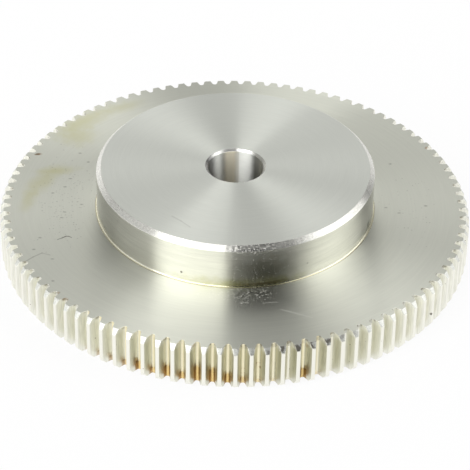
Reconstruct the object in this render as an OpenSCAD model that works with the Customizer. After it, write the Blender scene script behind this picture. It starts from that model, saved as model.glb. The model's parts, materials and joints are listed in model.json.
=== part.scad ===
// Spur gear with a hub on one side, turned and hobbed from one piece of steel.
// Lengths are in millimetres and angles in degrees. The gear lies on its plain face,
// the axis of the bore is Z, the hub points up, and one tooth is centred on +X.

/* [Teeth] */
// Module, the pitch diameter divided by the number of teeth
tooth_module = 1; // [0.7:0.05:2.5]
// Number of teeth
tooth_count = 100; // [70:1:160]
// Pressure angle of the involute flanks
pressure_angle = 20; // [17.5:0.5:25]
// Height of a tooth above the pitch circle, in modules
addendum_factor = 1; // [0.8:0.05:1.1]
// Depth of a tooth gap below the pitch circle, in modules
dedendum_factor = 1.25; // [1.15:0.05:1.35]
// How much thinner each tooth is at the pitch circle, so that a pair runs freely
running_clearance = 0.04; // [0:0.01:0.15]

/* [Rim] */
// Width of the toothed face, along the axis
face_width = 10; // [4:0.5:40]
// Length of the chamfer on the tooth ends, along the axis
rim_chamfer_length = 1.2; // [0.2:0.1:1.8]
// Depth of the chamfer on the tooth ends, towards the axis
rim_chamfer_depth = 0.8; // [0.2:0.1:1.8]

/* [Hub] */
// Diameter of the hub
hub_d = 60; // [24:1:90]
// How far the hub stands above the toothed face
hub_length = 10; // [3:0.5:40]
// Chamfer round the end of the hub
hub_chamfer = 1; // [0.2:0.1:2.5]
// Fillet that the turning tool leaves at the foot of the hub
hub_fillet = 0.4; // [0.1:0.1:2]

/* [Bore] */
// Diameter of the shaft bore
bore_d = 12; // [5:0.5:20]
// Chamfer at both ends of the bore
bore_chamfer = 0.5; // [0.2:0.1:1.5]

/* [Hidden] */

steel = [0.71, 0.72, 0.68];

// Radii of the gear's circles
pitch_r = tooth_module * tooth_count / 2;
base_r = pitch_r * cos(pressure_angle);
tip_r = pitch_r + addendum_factor * tooth_module;
root_r = pitch_r - dedendum_factor * tooth_module;
hub_r = hub_d / 2;
bore_r = bore_d / 2;
overall_length = face_width + hub_length;

// The cutter runs this far past the faces and the tips
overrun = tooth_module / 2;
// How far the round at the root bites into each flank, so that the two curves cross
root_bite = 0.005 * tooth_module;
// Height above the root circle at which a flank begins, in modules
form_factor = 0.35;

// Angle between a radius and the tangent from its end to the base circle
function flank_slope(r) = acos(base_r / r);

// Involute function of an angle: its tangent less the angle itself
function involute(angle) = tan(angle) * 180 / PI - angle;

// Half the angle of a tooth gap at a radius: a quarter of the tooth pitch at the
// pitch circle, wider with the clearance, and opening outwards along the involute
function gap_half_angle(r) =
    90 / tooth_count
    + running_clearance / 2 / pitch_r * 180 / PI
    + involute(flank_slope(r)) - involute(pressure_angle);

// Point of the involute flank above the gap's centre line, at a radius
function flank_point(r) = r * [cos(gap_half_angle(r)), sin(gap_half_angle(r))];

// Centre of the circle through three points
function circle_centre(a, b, c) =
    let (
        p = b - a,
        q = c - a,
        turn = 2 * (p.x * q.y - p.y * q.x)
    )
    a + [q.y * (p * p) - p.y * (q * q), p.x * (q * q) - q.x * (p * p)] / turn;

// With this many teeth one arc follows a whole flank to about a thousandth of a
// millimetre, so each flank is the arc through its involute near the root, at the
// pitch circle and at the tip
form_r = root_r + form_factor * tooth_module;
flank_centre = circle_centre(flank_point(form_r), flank_point(pitch_r), flank_point(tip_r));
flank_r = norm(flank_centre - flank_point(pitch_r));

// The round at the root touches the root circle and runs into both flanks
bitten_r = flank_r - root_bite;
root_offset = flank_centre.x - root_r;
root_round = (root_offset * root_offset + flank_centre.y * flank_centre.y - bitten_r * bitten_r)
    / (2 * (bitten_r + root_offset));
root_centre = [root_r + root_round, 0];
root_meet = root_centre + root_round * (flank_centre - root_centre) / norm(flank_centre - root_centre);

// Half section of the turned blank: bore, plain face, rim with its chamfers, and hub
module blank_section() {
    rim_r = tip_r - rim_chamfer_depth;
    mouth_r = bore_r + bore_chamfer;
    polygon([
        [mouth_r, 0],
        [rim_r, 0],
        [tip_r, rim_chamfer_length],
        [tip_r, face_width - rim_chamfer_length],
        [rim_r, face_width],
        [hub_r, face_width],
        [hub_r, overall_length - hub_chamfer],
        [hub_r - hub_chamfer, overall_length],
        [mouth_r, overall_length],
        [bore_r, overall_length - bore_chamfer],
        [bore_r, bore_chamfer],
    ]);
    // Fillet between the hub and the toothed face
    translate([hub_r, face_width])
        difference() {
            translate([-hub_fillet, -hub_fillet])
                square(2 * hub_fillet);
            translate([hub_fillet, hub_fillet])
                circle(hub_fillet, $fn = 48);
        }
}

// Outline of one tooth gap, centred on +X and open outwards past the tips
module gap_outline() {
    outer_x = tip_r + overrun;
    outer_y = flank_point(tip_r).y + 2 * overrun;
    inner_y = root_meet.y + overrun;
    difference() {
        polygon([
            [root_meet.x, -inner_y],
            [outer_x, -outer_y],
            [outer_x, outer_y],
            [root_meet.x, inner_y],
        ]);
        for (side = [-1, 1])
            translate([flank_centre.x, side * flank_centre.y])
                circle(flank_r, $fn = 240);
    }
    translate(root_centre)
        circle(root_round, $fn = 48);
}

// One pass of the gear cutter, between two teeth
module tooth_gap() {
    translate([0, 0, -overrun])
        linear_extrude(face_width + 2 * overrun)
            gap_outline();
}

module spur_gear() {
    color(steel)
        difference() {
            rotate_extrude($fn = 240)
                blank_section();
            for (gap = [0 : tooth_count - 1])
                rotate((gap + 0.5) * 360 / tooth_count)
                    tooth_gap();
        }
}

spur_gear();
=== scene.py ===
"""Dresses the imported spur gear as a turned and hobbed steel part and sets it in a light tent.

Lengths in the fields are millimetres and angles are degrees, both in the gear's own frame: the
axis is Z, the gear lies on its plain face and one tooth is centred on +X. Meshes are in metres.
"""

import json
import logging
import math
from dataclasses import dataclass, replace
from enum import Enum
from functools import reduce

import bpy
import numpy as np
from mathutils import Matrix, Vector


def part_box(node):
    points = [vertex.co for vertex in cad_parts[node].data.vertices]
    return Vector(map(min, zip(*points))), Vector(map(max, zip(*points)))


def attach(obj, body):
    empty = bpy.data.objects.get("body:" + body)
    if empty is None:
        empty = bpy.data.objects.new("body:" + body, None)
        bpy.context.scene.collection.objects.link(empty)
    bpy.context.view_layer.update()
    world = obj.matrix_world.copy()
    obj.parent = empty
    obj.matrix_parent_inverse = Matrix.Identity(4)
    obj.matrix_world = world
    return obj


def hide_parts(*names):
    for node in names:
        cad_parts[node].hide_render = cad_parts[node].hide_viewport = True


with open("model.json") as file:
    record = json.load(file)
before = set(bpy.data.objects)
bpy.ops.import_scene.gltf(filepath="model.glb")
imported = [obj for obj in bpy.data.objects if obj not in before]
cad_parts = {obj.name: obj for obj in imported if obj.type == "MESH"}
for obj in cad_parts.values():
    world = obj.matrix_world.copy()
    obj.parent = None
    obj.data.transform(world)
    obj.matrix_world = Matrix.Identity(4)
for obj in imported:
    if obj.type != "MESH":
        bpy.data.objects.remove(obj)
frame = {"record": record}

MM = 0.001
GEAR_NODE = "spur_gear"
BODY = "root"

# Width of the toothed disc, which the frame does not give
FACE_WIDTH = 10.0

Socket = bpy.types.NodeSocket
Feed = Socket | float | tuple[float, ...]
Colour = tuple[float, float, float]
Point = tuple[float, float, float]

log = logging.getLogger("spur_gear")


class Zone(Enum):
    """Finishes of the gear, numbered as the material slots of its mesh."""

    WEB = 0
    HUB_END = 1
    HUB_SIDE = 2
    BORE = 3
    TEETH = 4


class Chart(Enum):
    """Places on the flat map of the surface where each kind of band is laid out."""

    HUB_FACE = 0
    PLAIN_FACE = 1
    HUB_WALL = 2
    BORE_WALL = 3


def read_sizes() -> dict[str, float]:
    """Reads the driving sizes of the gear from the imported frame.

    Returns:
        Tip radius, overall length and bore radius in millimetres.
    """
    low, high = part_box(GEAR_NODE)
    mounts = {mount["name"]: mount for mount in frame["record"]["mounts"]}
    return {
        "tip_r": (high.x - low.x) / 2 / MM,
        "length": (high.z - low.z) / MM,
        "bore_r": mounts["bore"]["dims"]["r_mm"],
    }


def polar(radius: np.ndarray, angle: np.ndarray, height: np.ndarray) -> np.ndarray:
    """Turns cylinder coordinates into points.

    Args:
        radius: Distances from the axis.
        angle: Plan angles in radians.
        height: Heights above the plain face.

    Returns:
        Points with x, y, z along the last axis.
    """
    radius, angle, height = np.broadcast_arrays(radius, angle, height)
    return np.stack([radius * np.cos(angle), radius * np.sin(angle), height], axis=-1)


def involute(angle: np.ndarray) -> np.ndarray:
    """Involute function of an angle in radians: its tangent less the angle itself."""
    return np.tan(angle) - angle


@dataclass
class ToothRing:
    """The toothed rim as one closed strip of outlines, from the hub-side face to the plain face."""

    tip_r: float
    count: int = 100
    pressure_angle: float = 20.0
    dedendum: float = 1.25
    clearance: float = 0.04
    root_round: float = 0.53
    root_sweep: float = 69.0
    root_power: float = 3.8
    flank_fade: float = 4.0
    face_width: float = FACE_WIDTH
    chamfer_length: float = 1.2
    chamfer_depth: float = 0.8
    chamfer_blend: float = 0.1
    edge_break: float = 0.04
    tip_break: float = 0.07

    # Shares of the root round, the flank, the broken tip edge and the land at which columns stand
    ROOT_SHARES = (0.0, 0.35, 0.6, 0.82)
    FLANK_SHARES = (0.0, 0.05, 0.5, 0.94, 1.0)
    BREAK_SHARES = (0.5, 1.0)
    LAND_SHARES = (0.25, 1.0)

    # Shares of the edge break: the middle of its round, the flat rim beside it and the row below it
    EDGE_MIDDLE, EDGE_RIM, EDGE_BELOW = 0.29, 2.2, 2.5

    @property
    def module(self) -> float:
        """Module, from the tip radius and an addendum of one module."""
        return self.tip_r / (self.count / 2 + 1)

    @property
    def pitch_r(self) -> float:
        """Radius of the pitch circle."""
        return self.module * self.count / 2

    @property
    def base_r(self) -> float:
        """Radius of the circle that the involutes unwind from."""
        return self.pitch_r * math.cos(math.radians(self.pressure_angle))

    @property
    def root_r(self) -> float:
        """Radius at the bottom of the tooth gaps."""
        return self.pitch_r - self.dedendum * self.module

    @property
    def half_pitch(self) -> float:
        """Angle from the middle of a gap to the middle of the next tooth, in radians."""
        return math.pi / self.count

    def gap_half_angle(self, radius: np.ndarray) -> np.ndarray:
        """Half the angle of a tooth gap: half of half a pitch at the pitch circle, widened by the
        running clearance, and opening outwards with the involute function.

        Args:
            radius: Distances from the axis.

        Returns:
            Angles in radians from the middle of the gap to its flank.
        """
        at_pitch = self.half_pitch / 2 + self.clearance / 2 / self.pitch_r
        opening = involute(np.arccos(self.base_r / radius))
        return at_pitch + opening - involute(math.radians(self.pressure_angle))

    def rows(self) -> np.ndarray:
        """Rows of the strip, each with its height, the radius of its lands and its inset.

        The tip radius falls in a straight line along each end chamfer, with a short blend where
        the chamfer meets the land, and the outline draws in round each end edge.

        Returns:
            An array with height, land radius and inset in its columns, from the top downwards.
        """
        edge, blend, length = self.edge_break, self.chamfer_blend, self.chamfer_length
        slope = self.chamfer_depth / length
        heights = [0.0, 0.0, self.EDGE_MIDDLE * edge, edge, self.EDGE_BELOW * edge,
                   length - 2 * blend, length - blend, length, length + blend, length + 2 * blend,
                   self.face_width / 2]
        insets = [self.EDGE_RIM * edge, edge, self.EDGE_MIDDLE * edge]
        insets += [0.0] * (len(heights) - len(insets))
        height = np.array(heights)
        short = np.clip(length - height, 0.0, None)
        near = np.clip(blend - np.abs(height - length), 0.0, None)
        top = self.tip_r - slope * (short + near ** 2 / (4 * blend))
        lower = np.stack([height, top, np.array(insets)], axis=1)
        upper = lower[:-1][::-1].copy()
        upper[:, 0] = self.face_width - upper[:, 0]
        return np.concatenate([lower, upper])[::-1]

    def half_outline(self, top: np.ndarray, inset: np.ndarray) -> tuple[np.ndarray, np.ndarray]:
        """Outline from the middle of a gap to the middle of a tooth, for each row.

        A root that is flat in the middle and rises to the end of the root round by a power of the
        way across, then the involute flank, a broken tip edge as a quadratic curve and the land.
        The flank starts where the root round ends, and what that moves it by fades out along it.
        An inset of the outline widens the root round, turns the flank by inset over base radius,
        and lowers the land.

        Args:
            top: Radius of the land, one for each row.
            inset: How far the outline draws in, one for each row.

        Returns:
            Radii and angles, with rows along the first axis and columns along the second.
        """
        top, inset = top[:, None] - inset[:, None], inset[:, None]
        across = np.array(self.ROOT_SHARES + (1.0,))
        sweep = math.radians(self.root_sweep)
        reach = self.root_round + inset
        root_x = self.root_r - inset + reach * (1 - math.cos(sweep)) * across ** self.root_power
        root_y = reach * math.sin(sweep) * across
        arc_r, arc_angle = np.hypot(root_x, root_y), np.arctan2(root_y, root_x)
        shares = np.array(self.FLANK_SHARES)
        flank_r = arc_r[:, -1:] + (top - self.tip_break - arc_r[:, -1:]) * shares
        flank_angle = self.gap_half_angle(flank_r) + inset / self.base_r
        slip = (arc_angle[:, -1:] - flank_angle[:, :1]) * (1 - shares) ** self.flank_fade
        flank_angle = flank_angle + slip
        corner_angle = self.gap_half_angle(top) + inset / self.base_r
        land_angle = corner_angle + self.tip_break / top
        step = np.array(self.BREAK_SHARES)
        near, middle, far = (1 - step) ** 2, 2 * step * (1 - step), step ** 2
        break_r = near * flank_r[:, -1:] + (middle + far) * top
        break_angle = near * flank_angle[:, -1:] + middle * corner_angle + far * land_angle
        on_land = land_angle + (self.half_pitch - land_angle) * np.array(self.LAND_SHARES)
        radius = [arc_r[:, :-1], flank_r, break_r, np.broadcast_to(top, on_land.shape)]
        angle = [arc_angle[:, :-1], flank_angle, break_angle, on_land]
        return np.concatenate(radius, axis=1), np.concatenate(angle, axis=1)

    def surface(self) -> tuple[np.ndarray, np.ndarray]:
        """Points of the strip: each half outline is mirrored about its tooth and repeated round
        the rim, with the gaps half a pitch away from +X.

        Returns:
            Points with rows and columns along the first two axes, and their plan angles.
        """
        height, top, inset = self.rows().T
        radius, angle = self.half_outline(top, inset)
        back = slice(-2, 0, -1)
        radius = np.concatenate([radius, radius[:, back]], axis=1)
        angle = np.concatenate([angle, 2 * self.half_pitch - angle[:, back]], axis=1)
        gaps = self.half_pitch * (2 * np.arange(self.count) + 1)
        angles = (gaps[None, :, None] + angle[:, None, :]).reshape(len(height), -1)
        radii = np.tile(radius, (1, self.count))
        return polar(radii, angles, height[:, None]), angles

    def columns_per_pitch(self) -> int:
        """Columns from the middle of one gap to the middle of the next."""
        shares = (self.ROOT_SHARES, self.FLANK_SHARES, self.BREAK_SHARES, self.LAND_SHARES)
        return 2 * (sum(len(s) for s in shares) - 1)


@dataclass(frozen=True)
class Corner:
    """A corner of the turned section, its round, and the finish of the stretch after it."""

    radius: float
    height: float
    cut: float
    steps: int
    zone: Zone
    chart: Chart


@dataclass(frozen=True)
class Nick:
    """A dent in the edge of the hub's chamfer."""

    angle: float
    width: float
    depth: float


@dataclass
class TurnedBody:
    """Everything the lathe made: the two faces, the hub with its chamfer and fillet, and the bore."""

    length: float
    bore_r: float
    seam_r: float = 47.4
    face_width: float = FACE_WIDTH
    hub_r: float = 30.0
    hub_chamfer: float = 1.0
    hub_fillet: float = 0.4
    bore_chamfer: float = 0.5
    edge_break: float = 0.05
    guard_share: float = 1.2
    guard_limit: float = 0.12
    nick_reach: float = 1.15
    nick_low_share: float = 0.55
    nicks: tuple[Nick, ...] = (
        Nick(262.3, 0.4, 0.03), Nick(267.4, 0.4, 0.03), Nick(269.3, 0.5, 0.04), Nick(271.6, 0.4, 0.05),
        Nick(273.5, 0.5, 0.03), Nick(275.2, 0.4, 0.06), Nick(277.3, 0.5, 0.04), Nick(279.0, 0.4, 0.06),
        Nick(280.7, 0.5, 0.03), Nick(282.9, 0.4, 0.05), Nick(284.6, 0.5, 0.04), Nick(286.8, 0.4, 0.05),
        Nick(289.3, 0.5, 0.03), Nick(296.5, 0.5, 0.03),
    )

    def corners(self) -> list[Corner]:
        """Corners of the section, from the plain face through the bore to the hub-side face.

        Returns:
            The corners in order, the first and the last of them on the seam circle.
        """
        mouth, rim = self.bore_r + self.bore_chamfer, self.hub_r - self.hub_chamfer
        low, high = self.bore_chamfer, self.length - self.bore_chamfer
        shoulder, brk = self.length - self.hub_chamfer, self.edge_break
        plain, bore = (Zone.WEB, Chart.PLAIN_FACE), (Zone.BORE, Chart.BORE_WALL)
        hub_end, wall = (Zone.HUB_END, Chart.HUB_FACE), (Zone.HUB_SIDE, Chart.HUB_WALL)
        web = (Zone.WEB, Chart.HUB_FACE)
        return [
            Corner(self.seam_r, 0.0, 0.0, 0, *plain),
            Corner(mouth, 0.0, brk, 2, *bore),
            Corner(self.bore_r, low, brk, 2, *bore),
            Corner(self.bore_r, high, brk, 2, *bore),
            Corner(mouth, self.length, brk, 2, *hub_end),
            Corner(rim, self.length, brk, 3, *wall),
            Corner(self.hub_r, shoulder, brk, 3, *wall),
            Corner(self.hub_r, self.face_width, self.hub_fillet, 6, *web),
            Corner(self.seam_r, self.face_width, 0.0, 0, *web),
        ]

    def section(self) -> tuple[np.ndarray, list[Zone], list[Chart]]:
        """Section of the body as a line in which each corner is an arc between straight stretches.

        The arc touches both stretches at the corner's cut. Its radius is the cut times the tangent
        of half the angle between them, and a short stretch on each side keeps the flats flat.

        Returns:
            Radius and height of each row, and the finish and chart of each band between rows.
        """
        corners = self.corners()
        points, zones, charts = [(corners[0].radius, corners[0].height)], [], []
        zone, chart = corners[0].zone, corners[0].chart
        for before, here, after in zip(corners, corners[1:], corners[2:]):
            place = np.array([here.radius, here.height])
            to_before = np.array([before.radius, before.height]) - place
            to_after = np.array([after.radius, after.height]) - place
            to_before, to_after = (w / np.linalg.norm(w) for w in (to_before, to_after))
            half = math.acos(float(np.clip(to_before @ to_after, -1.0, 1.0))) / 2
            middle = (to_before + to_after) / np.linalg.norm(to_before + to_after)
            centre = place + middle * here.cut / math.cos(half)
            spread = math.pi / 2 - half
            across = (to_after - to_before) / np.linalg.norm(to_after - to_before)
            turn = np.linspace(-spread, spread, here.steps + 1)[:, None]
            arc = centre + here.cut * math.tan(half) * (across * np.sin(turn) - middle * np.cos(turn))
            guard = min(self.guard_share * here.cut, self.guard_limit)
            points.append(tuple(place + to_before * (here.cut + guard)))
            zones.append(zone)
            charts.append(chart)
            points.extend(map(tuple, arc))
            bands = here.steps + 1
            turned = (here.zone, here.chart)
            if here.chart in FlatMap.DISCS and chart not in FlatMap.DISCS:
                turned = (zone, chart)
            zones.extend([zone] + [turned[0]] * (bands - 1))
            charts.extend([chart] + [turned[1]] * (bands - 1))
            zone, chart = here.zone, here.chart
            points.append(tuple(place + to_after * (here.cut + guard)))
            zones.append(zone)
            charts.append(chart)
        points.append((corners[-1].radius, corners[-1].height))
        zones.append(zone)
        charts.append(chart)
        return np.array(points), zones, charts

    def dents(self, radius: np.ndarray, height: np.ndarray, angle: np.ndarray) -> np.ndarray:
        """Depth of the nicks in the hub's chamfer: for each nick a bell curve of the plan angle,
        strongest on the chamfer's upper half and gone a little past the chamfer.

        Args:
            radius: Radius of each row.
            height: Height of each row.
            angle: Plan angle of each column in radians.

        Returns:
            Depths with rows along the first axis and columns along the second.
        """
        chamfer_r = self.hub_r - self.hub_chamfer / 2
        chamfer_z = self.length - self.hub_chamfer / 2
        away = np.hypot(radius - chamfer_r, height - chamfer_z)
        on_row = np.clip(self.nick_reach - away / self.hub_chamfer, 0.0, 1.0)
        on_row *= np.where(height > chamfer_z, 1.0, self.nick_low_share)
        depth = np.zeros_like(angle)
        for nick in self.nicks:
            off = (np.degrees(angle) - nick.angle + 180.0) % 360.0 - 180.0
            depth += nick.depth * np.exp(-(off / nick.width) ** 2)
        return on_row[:, None] * depth[None, :]

    def surface(self, angle: np.ndarray) -> tuple[np.ndarray, list[Zone], list[Chart]]:
        """Points of the body: the section turned about the axis, less the nicks.

        Args:
            angle: Plan angles of the columns in radians.

        Returns:
            Points by row and column, and the finish and chart of each band of faces.
        """
        line, zones, charts = self.section()
        radius, height = line.T
        dent = self.dents(radius, height, angle) / math.sqrt(2)
        return polar(radius[:, None] - dent, angle[None, :], height[:, None] - dent), zones, charts


@dataclass
class FlatMap:
    """Lays the gear's surface out flat: two discs, four strips of teeth, the hub's wall and the bore."""

    tip_r: float
    disc: float = 0.24
    margin: float = 0.01
    tooth_rows: int = 4
    tooth_row: float = 0.07

    # Centres of the discs, and left, right, low and high edges of the strips
    DISCS = {Chart.HUB_FACE: (0.25, 0.75), Chart.PLAIN_FACE: (0.75, 0.75)}
    STRIPS = {Chart.HUB_WALL: (0.01, 0.99, 0.33, 0.39), Chart.BORE_WALL: (0.01, 0.60, 0.41, 0.49)}

    def on_disc(self, points: np.ndarray, chart: Chart) -> np.ndarray:
        """Plan view of points, scaled into the chart's disc and mirrored for the plain face.

        Args:
            points: Points in millimetres, with x, y, z along the last axis.
            chart: Which disc.

        Returns:
            Map coordinates along the last axis.
        """
        side = 1.0 if chart == Chart.HUB_FACE else -1.0
        return np.array(self.DISCS[chart]) + points[..., :2] * [side, 1.0] / self.tip_r * self.disc

    def on_strip(self, along: np.ndarray, across: np.ndarray, chart: Chart) -> np.ndarray:
        """Places shares of a strip's length and width on the map.

        Args:
            along: Shares of the way round the axis.
            across: Shares of the way along the section.
            chart: Which strip.

        Returns:
            Map coordinates along the last axis.
        """
        left, right, low, high = self.STRIPS[chart]
        along, across = np.broadcast_arrays(along, across)
        return np.stack([left + (right - left) * along, low + (high - low) * across], axis=-1)

    def on_teeth(self, along: np.ndarray, across: np.ndarray) -> np.ndarray:
        """Places the tooth strip on the map, cut into rows of as many teeth each.

        Args:
            along: Shares of the way round the axis, one for each corner of each face.
            across: Shares of the way down the strip, one for each corner of each face.

        Returns:
            Map coordinates along the last axis.
        """
        row = np.floor(along[..., :1] * self.tooth_rows)
        inside = along * self.tooth_rows - row
        height = self.margin + row * (self.tooth_row + self.margin) + self.tooth_row * across
        sideways = self.margin + (1.0 - 2 * self.margin) * inside
        return np.stack(np.broadcast_arrays(sideways, height), axis=-1)


@dataclass(frozen=True)
class Ramp:
    """A smooth step: where it begins and ends, and its value before and after."""

    start: float
    end: float
    low: float = 0.0
    high: float = 1.0


@dataclass(frozen=True)
class Mottle:
    """Noise that varies a tone: its scale, its detail, how far it swings and about what level."""

    scale: float
    detail: float
    swing: float = 1.0
    level: float = 0.0


class Wiring:
    """Adds nodes to one node tree, and links sockets or sets their values."""

    def __init__(self, tree: bpy.types.NodeTree) -> None:
        """Keeps the tree that the nodes go into."""
        self.tree = tree

    def feed(self, socket: Socket, value: Feed) -> None:
        """Links another socket to this one, or sets its own value.

        Args:
            socket: An input of a node.
            value: What it gets, where three numbers for a colour are opaque.
        """
        if isinstance(value, bpy.types.NodeSocket):
            self.tree.links.new(value, socket)
        elif socket.type == "RGBA" and len(value) == 3:
            socket.default_value = (*value, 1.0)
        else:
            socket.default_value = value

    def node(self, kind: str, feeds: dict[str | int, Feed] | None = None,
             **settings: object) -> bpy.types.Node:
        """Adds a node.

        Args:
            kind: Name of the node's class, without its prefix.
            feeds: Value or socket for each input, by name or number.
            settings: Options of the node.

        Returns:
            The new node.
        """
        made = self.tree.nodes.new("ShaderNode" + kind)
        for name, value in settings.items():
            setattr(made, name, value)
        for key, value in (feeds or {}).items():
            self.feed(made.inputs[key], value)
        return made

    def math(self, operation: str, *values: Feed) -> Socket:
        """Adds a Math node and returns its value."""
        return self.node("Math", dict(enumerate(values)), operation=operation).outputs[0]

    def vector(self, operation: str, *values: Feed) -> Socket:
        """Adds a Vector Math node and returns its vector."""
        return self.node("VectorMath", dict(enumerate(values)), operation=operation).outputs["Vector"]

    def measure(self, operation: str, *values: Feed) -> Socket:
        """Adds a Vector Math node and returns its number, such as a length or a dot product."""
        return self.node("VectorMath", dict(enumerate(values)), operation=operation).outputs["Value"]

    def scaled(self, vector: Feed, factor: Feed) -> Socket:
        """Scales a vector or a colour by a number."""
        made = self.node("VectorMath", {"Vector": vector, "Scale": factor}, operation="SCALE")
        return made.outputs["Vector"]

    def smooth(self, value: Feed, start: Feed, end: Feed, low: float = 0.0, high: float = 1.0) -> Socket:
        """Smooth step of a value.

        Args:
            value: What is looked at.
            start: Value at which the step begins.
            end: Value at which it ends, larger than start.
            low: Result before the step.
            high: Result after the step.

        Returns:
            The stepped value.
        """
        feeds = {"Value": value, "From Min": start, "From Max": end, "To Min": low, "To Max": high}
        return self.node("MapRange", feeds, interpolation_type="SMOOTHSTEP").outputs["Result"]

    def step(self, value: Feed, ramp: Ramp) -> Socket:
        """Smooth step of a value, as a ramp says."""
        return self.smooth(value, ramp.start, ramp.end, ramp.low, ramp.high)

    def product(self, *factors: Feed) -> Socket:
        """Multiplies numbers, from the first to the last."""
        return reduce(lambda so_far, factor: self.math("MULTIPLY", so_far, factor), factors)

    def clamped(self, value: Feed) -> Socket:
        """Keeps a number between nothing and one."""
        return self.node("Clamp", {"Value": value}).outputs[0]

    def mix(self, share: Feed, first: Feed, second: Feed) -> Socket:
        """Mixes two colours."""
        made = self.node("Mix", {0: share, 6: first, 7: second}, data_type="RGBA")
        return made.outputs[2]

    def noise(self, place: Feed, mottle: Mottle) -> Socket:
        """Noise of a place, about a half on average."""
        feeds = {"Vector": place, "Scale": mottle.scale, "Detail": mottle.detail}
        return self.node("TexNoise", feeds).outputs[0]

    def swing(self, noise: Feed, amount: Feed, level: float = 0.0) -> Socket:
        """Swings noise about a level: noise less a half, times the amount, plus the level."""
        return self.math("MULTIPLY_ADD", self.math("SUBTRACT", noise, 0.5), amount, level)

    def mottled(self, place: Feed, mottle: Mottle) -> Socket:
        """Noise of a place, swung as a mottle says."""
        return self.swing(self.noise(place, mottle), mottle.swing, mottle.level)

    def group(self, tree: bpy.types.NodeTree, feeds: dict[str, Feed]) -> bpy.types.Node:
        """Places a node group with its own values.

        Args:
            tree: The group.
            feeds: Value or socket for each named input.

        Returns:
            The new node.
        """
        made = self.tree.nodes.new("ShaderNodeGroup")
        made.node_tree = tree
        for name, value in feeds.items():
            self.feed(made.inputs[name], value)
        return made


def blank_nodes(owner: bpy.types.Material | bpy.types.World) -> Wiring:
    """Turns on the nodes of a material or a world and empties them.

    Args:
        owner: The material or the world.

    Returns:
        The wiring of its empty node tree.
    """
    owner.use_nodes = True
    owner.node_tree.nodes.clear()
    return Wiring(owner.node_tree)


FLOAT, VECTOR = "NodeSocketFloat", "NodeSocketVector"


class Effect:
    """A node group that several finishes share."""

    def __init__(self, name: str, inputs: dict[str, str], outputs: tuple[str, ...]) -> None:
        """Makes an empty group.

        Args:
            name: Name of the group.
            inputs: Kind of socket for each named input.
            outputs: Names of the outputs, which are all numbers.
        """
        self.tree = bpy.data.node_groups.new(name, "ShaderNodeTree")
        for label, kind in inputs.items():
            self.tree.interface.new_socket(name=label, in_out="INPUT", socket_type=kind)
        for label in outputs:
            self.tree.interface.new_socket(name=label, in_out="OUTPUT", socket_type=FLOAT)
        self.wiring = Wiring(self.tree)
        self.given = self.tree.nodes.new("NodeGroupInput").outputs
        self.result = self.tree.nodes.new("NodeGroupOutput").inputs

    def put(self, name: str, value: Socket) -> None:
        """Links a result to one of the group's outputs."""
        self.tree.links.new(value, self.result[name])


def turning_marks() -> bpy.types.NodeTree:
    """Lathe marks: noise that changes fast along the tool's feed and slowly round the axis.

    Returns:
        A group with a tone between minus and plus a half.
    """
    inputs = {"Place": VECTOR, "Track": FLOAT, "Pitch": FLOAT, "Streaks": FLOAT}
    made = Effect("turning marks", inputs, ("Tone",))
    w, given = made.wiring, made.given
    flat = w.vector("MULTIPLY", given["Place"], (1.0, 1.0, 0.0))
    round_axis = w.scaled(w.vector("NORMALIZE", flat), given["Streaks"])
    along = w.node("SeparateXYZ", {0: round_axis}).outputs
    ridges = Mottle(scale=1.0, detail=2.0)
    tones = []
    for coarseness, share in ((1.0, 0.65), (5.0, 0.35)):
        track = w.math("DIVIDE", given["Track"], w.product(given["Pitch"], coarseness))
        spot = w.node("CombineXYZ", {0: track, 1: along[0], 2: along[1]}).outputs[0]
        tones.append(w.swing(w.noise(spot, ridges), share))
    made.put("Tone", w.math("ADD", *tones))
    return made.tree


def soft_patch() -> bpy.types.NodeTree:
    """A patch that fades out: one less the distance from its centre in reaches, broken by noise.

    Returns:
        A group with a mask between nothing and one.
    """
    inputs = {"Place": VECTOR, "Centre": VECTOR, "Reach": VECTOR,
              "Turn": FLOAT, "Ragged": FLOAT, "Grain": FLOAT}
    made = Effect("soft patch", inputs, ("Mask",))
    w, given = made.wiring, made.given
    off = w.vector("SUBTRACT", given["Place"], given["Centre"])
    back = w.product(given["Turn"], -1.0)
    turned = w.node("VectorRotate", {"Vector": off, "Angle": back}, rotation_type="Z_AXIS").outputs[0]
    far = w.measure("LENGTH", w.vector("DIVIDE", turned, given["Reach"]))
    grain = w.node("TexNoise", {"Vector": given["Place"], "Scale": given["Grain"], "Detail": 3.0}).outputs[0]
    far = w.math("ADD", far, w.swing(grain, given["Ragged"]))
    made.put("Mask", w.step(far, Ramp(0.0, 1.0, 1.0, 0.0)))
    return made.tree


def line_mark() -> bpy.types.NodeTree:
    """A thin straight mark: how near a place is to the stretch between two ends.

    Returns:
        A group with a mask between nothing and one.
    """
    made = Effect("line mark", {"Place": VECTOR, "Start": VECTOR, "End": VECTOR, "Width": FLOAT}, ("Mask",))
    w, given = made.wiring, made.given
    run = w.vector("SUBTRACT", given["End"], given["Start"])
    out = w.vector("SUBTRACT", given["Place"], given["Start"])
    share = w.math("DIVIDE", w.measure("DOT_PRODUCT", out, run), w.measure("DOT_PRODUCT", run, run))
    nearest = w.scaled(run, w.clamped(share))
    away = w.measure("DISTANCE", out, nearest)
    made.put("Mask", w.smooth(away, 0.0, given["Width"], 1.0, 0.0))
    return made.tree


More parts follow.
